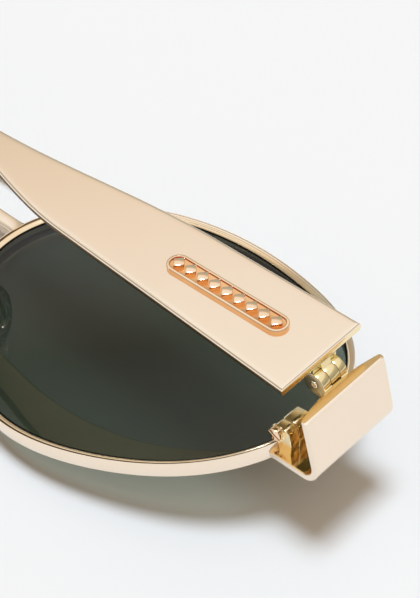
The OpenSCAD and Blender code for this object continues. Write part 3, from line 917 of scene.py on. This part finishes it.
def make_plaque(side):
    """A pill with a raised border and a row of lozenges standing in it."""
    x0, x1, y, h = PLAQUE
    r = h / 2
    pill = (arc(r, range(-90, 91, 10), (x1 - r, y)) + arc(r, range(90, 271, 10), (x0 + r, y)))
    rings = []
    for z, off in PILL_PROFILE:
        ring = []
        for px, py in pill:
            cx = min(max(px, x0 + r), x1 - r)
            k = (r - off) / r
            ring.append((cx + (px - cx) * k, y + (py - y) * k, -z))
        rings.append(ring)
    # Walls and floor are painted a deeper, orange gold than the border and the tops of the
    # lozenges, as painted shade.
    parts = [loft(rings)]
    ids = [0 if k // len(pill) in PILL_BORDER else 1 for k in range(len(parts[0][1]))]
    for i in range(STUDS):
        cx = x0 + r + (x1 - x0 - h) * i / (STUDS - 1)
        lozenge = chamfered([(cx + STUD_X, y), (cx, y + STUD_Y), (cx - STUD_X, y),
                             (cx, y - STUD_Y)], 0.12)
        stud = raised(lozenge, z_low=0.20, z_high=0.78, soft=0.12)
        parts.append(stud)
        # Each lozenge's walls get the painted-shade gold, its top the lighter one.
        ids += [1 if k < len(lozenge) else 0 for k in range(len(stud[1]))]
    obj = solid("plaque_row_" + side, *join(parts), temple_place(side), [rose, plaque_shade], ids,
                angle=25)
    finish(obj, side + "_temple", "fitting_gold", "plaque_" + side)


# ---- nose pads ----
DOME_R = 20.0


def make_pad(side):
    """A flat teardrop whose front is a shallow dome."""
    outline = [(PAD_L / 2 * math.cos(t), PAD_W / 2 * math.sin(t) * (1 - 0.12 * math.cos(t)))
               for t in (2 * math.pi * k / 48 for k in range(48))]

    def ring(scale, x_of):
        return [(x_of(y * scale, z * scale), y * scale, z * scale) for y, z in outline]

    def front(y, z):
        return DOME_R - PAD_T / 2 - math.sqrt(DOME_R * DOME_R - y * y - z * z)

    back = PAD_T / 2
    rings = [ring(s, lambda y, z: front(y, z) + 0.02)
             for s in (0.15, 0.35, 0.55, 0.72, 0.84, 0.92, 0.965)]
    rings += [ring(0.985, lambda y, z: front(y, z) + 0.10),
              ring(0.995, lambda y, z: front(y, z) + 0.28),
              ring(0.995, lambda y, z: max(back - 0.3, front(y, z) + 0.4)),
              ring(0.975, lambda y, z: back - 0.08)]
    rings += [ring(s, lambda y, z: back - 0.02) for s in (0.93, 0.7, 0.4, 0.15)]
    obj = solid("nose_cushion_" + side, *loft(rings), pad_place(side), [silicone], angle=50)
    finish(obj, side + "_pad", "silicone", "nose_pad_" + side)


def tube(route, radius):
    """A round wire through points, smoothed between them."""
    sides, steps = 20, 8
    p = [Vector(q) for q in route]
    last = len(p) - 1
    path = []
    for i in range(last):
        a, b, c, d = p[max(0, i - 1)], p[i], p[i + 1], p[min(last, i + 2)]
        for k in range(steps + (1 if i == last - 1 else 0)):
            t = k / steps
            path.append(0.5 * (2 * b + (c - a) * t + (2 * a - 5 * b + 4 * c - d) * t * t
                               + (3 * b - a - 3 * c + d) * t * t * t))
    rings = []
    for i, q in enumerate(path):
        t = (path[min(len(path) - 1, i + 1)] - path[max(0, i - 1)]).normalized()
        across = Vector((-t[2], 0, t[0])).normalized()
        up = across.cross(t)
        rings.append([tuple(q + across * (radius * math.cos(a)) + up * (radius * math.sin(a)))
                      for a in (2 * math.pi * k / sides for k in range(sides))])
    return loft(rings)


def make_pad_arm(side):
    """A wire from the rim back and round to the pad's box."""
    route = [(7.95, LENS_Y - 2.4, 2.2), (7.3, LENS_Y - 2.6, 4.4), (9.8, LENS_Y - 3.5, 5.4),
             (13, LENS_Y - 4.7, 6.6)]
    route += [pad_place("right") @ Vector((LUG_X + off, 0, 0)) for off in (2.1, 1)]
    obj = solid("pad_wire_" + side, *tube(route, 0.5), mirrored(side, Matrix.Identity(4)),
                [champagne], angle=50)
    finish(obj, "front", "champagne_gold", "pad_arm_" + side)


def make_pad_box(side):
    """A folded U of sheet, open towards the pad."""
    x0, x1, w, t = LUG_X - 0.9, LUG_X + 1.4, 1.35, 0.62
    u = [(x0, -w), (x1 - 0.5, -w), (x1 - 0.15, -w + 0.15), (x1, -w + 0.5), (x1, w - 0.5),
         (x1 - 0.15, w - 0.15), (x1 - 0.5, w), (x0, w), (x0, w - t), (x1 - 0.7, w - t),
         (x1 - 0.48, w - t - 0.22), (x1 - 0.48, -w + t + 0.22), (x1 - 0.7, -w + t), (x0, -w + t)]
    obj = solid("pad_yoke_" + side, *prism(u, -1.15, 1.15), pad_place(side), [champagne],
                bevel=0.1, angle=32)
    finish(obj, "front", "champagne_gold", "pad_box_" + side)


def make_pad_screw(side):
    place = pad_place(side) @ shift(LUG_X, 0, 1.37) @ Matrix.Rotation(math.pi, 4, "X")
    body = screw_body(head_r=0.7, head_t=0.4, shank_r=0.4, shank_l=2.65, slot_w=0.2, slot_d=0.2)
    obj = solid("pad_bolt_" + side, *body, place, [yellow])
    finish(obj, "front", "fitting_gold", "pad_screw_" + side)


for side in SIDES:
    make_rim(side)
    make_lens(side)
    make_endpiece(side)
    make_block(side, "low")
    make_block(side, "high")
    make_rim_screw(side)
    make_front_leaf(side)
    make_temple_leaf(side)
    make_hinge_screw(side)
    make_temple(side)
    make_tip(side)
    make_plaque(side)
    make_pad(side)
    make_pad_arm(side)
    make_pad_box(side)
    make_pad_screw(side)
    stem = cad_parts["pad_stem_" + side]
    stem.data.materials.clear()
    stem.data.materials.append(champagne)
make_bar("bridge_bar", "bridge", y_mid=4.1, h=2.2, d=2.1, z_mid=2.5)
make_bar("brow_rail", "brow_bar", y_mid=12.1, h=1.8, d=1.8, z_mid=2.7)

# ---- floor, light and camera ----
# Half the floor's width, in metres.
FLOOR_HALF = 6
PAPER = (0.80, 0.80, 0.80)
SUN_POWER, SUN_SIZE, SUN_TILT = 2.655, 20.0, -3.5
SUN_COLOUR = (0.775, 0.888, 1.0)
# What polished surfaces mirror, from below to overhead: a dim warm room under a soft box.
ROOM = ((0.0, (0.40, 0.36, 0.30)), (0.30, (0.44, 0.42, 0.38)), (0.46, (0.52, 0.54, 0.50)),
        (0.55, (0.52, 0.49, 0.41)), (0.61, (0.87, 0.765, 0.65)), (0.66, (0.93, 0.885, 0.835)),
        (0.72, (0.98, 0.98, 0.96)), (1.0, (1.0, 1.0, 1.0)))
# What lights matt surfaces, and what the camera sees past the floor.
FILL = (0.49, 0.395, 0.30)
PALE = (0.92, 0.92, 0.92)
EYE = (164.12, -123.76, 197.09)
AIM = (40.674, 9.229, 8.961)
ROLL, FOCAL_LENGTH, SENSOR = -0.657, 120.40, 36


def make_floor():
    corners = [(x * FLOOR_HALF, y * FLOOR_HALF, 0) for x, y in ((-1, -1), (1, -1), (1, 1), (-1, 1))]
    mesh = bpy.data.meshes.new("floor")
    mesh.from_pydata(corners, [], [(0, 1, 2, 3)])
    floor = bpy.data.objects.new("floor", mesh)
    bpy.context.scene.collection.objects.link(floor)
    paper, nodes, links = new_material("paper")
    out = nodes.new("ShaderNodeOutputMaterial")
    bsdf = nodes.new("ShaderNodeBsdfDiffuse")
    bsdf.inputs["Color"].default_value = (*PAPER, 1)
    links.new(bsdf.outputs[0], out.inputs[0])
    mesh.materials.append(paper)


def make_sun():
    data = bpy.data.lights.new("overhead", "SUN")
    data.energy = SUN_POWER
    data.angle = math.radians(SUN_SIZE)
    data.color = SUN_COLOUR
    obj = bpy.data.objects.new("overhead", data)
    obj.rotation_euler = (0, math.radians(SUN_TILT), 0)
    bpy.context.scene.collection.objects.link(obj)


def make_world():
    """Surroundings that differ for mirrored rays, diffuse rays and the camera's own."""
    world = bpy.data.worlds.new("studio")
    bpy.context.scene.world = world
    world.use_nodes = True
    nodes, links = world.node_tree.nodes, world.node_tree.links
    nodes.clear()
    out = nodes.new("ShaderNodeOutputWorld")
    coord = nodes.new("ShaderNodeTexCoord")
    split = nodes.new("ShaderNodeSeparateXYZ")
    links.new(coord.outputs["Generated"], split.inputs[0])

    def backdrop(*stops):
        """A background whose colour follows the height of the direction."""
        back = nodes.new("ShaderNodeBackground")
        links.new(colour_ramp(nodes, links, split.outputs["Z"], *stops), back.inputs["Color"])
        return back.outputs[0]

    def choose(test, no, yes):
        mix = nodes.new("ShaderNodeMixShader")
        links.new(test, mix.inputs[0])
        links.new(no, mix.inputs[1])
        links.new(yes, mix.inputs[2])
        return mix.outputs[0]

    room = backdrop(*ROOM)
    fill = backdrop((0.0, FILL), (1.0, FILL))
    pale = backdrop((0.0, PALE), (1.0, PALE))
    ray = nodes.new("ShaderNodeLightPath").outputs
    unseen = choose(ray["Is Diffuse Ray"], room, fill)
    links.new(choose(ray["Is Camera Ray"], unseen, pale), out.inputs[0])


def make_camera():
    data = bpy.data.cameras.new("camera")
    obj = bpy.data.objects.new("camera", data)
    bpy.context.scene.collection.objects.link(obj)
    eye, aim = Vector(EYE) * MM, Vector(AIM) * MM
    look = (eye - aim).normalized()
    right = Vector((0, 0, 1)).cross(look).normalized()
    up = look.cross(right)
    roll = math.radians(ROLL)
    right, up = (right * math.cos(roll) + up * math.sin(roll),
                 up * math.cos(roll) - right * math.sin(roll))
    obj.matrix_world = Matrix((
        (right.x, up.x, look.x, eye.x), (right.y, up.y, look.y, eye.y),
        (right.z, up.z, look.z, eye.z), (0, 0, 0, 1)))
    data.sensor_width = SENSOR
    data.lens = FOCAL_LENGTH
    data.clip_start = 0.01
    data.clip_end = 100
    bpy.context.scene.camera = obj


make_floor()
make_sun()
make_world()
make_camera()
bpy.context.scene.view_settings.view_transform = "Standard"
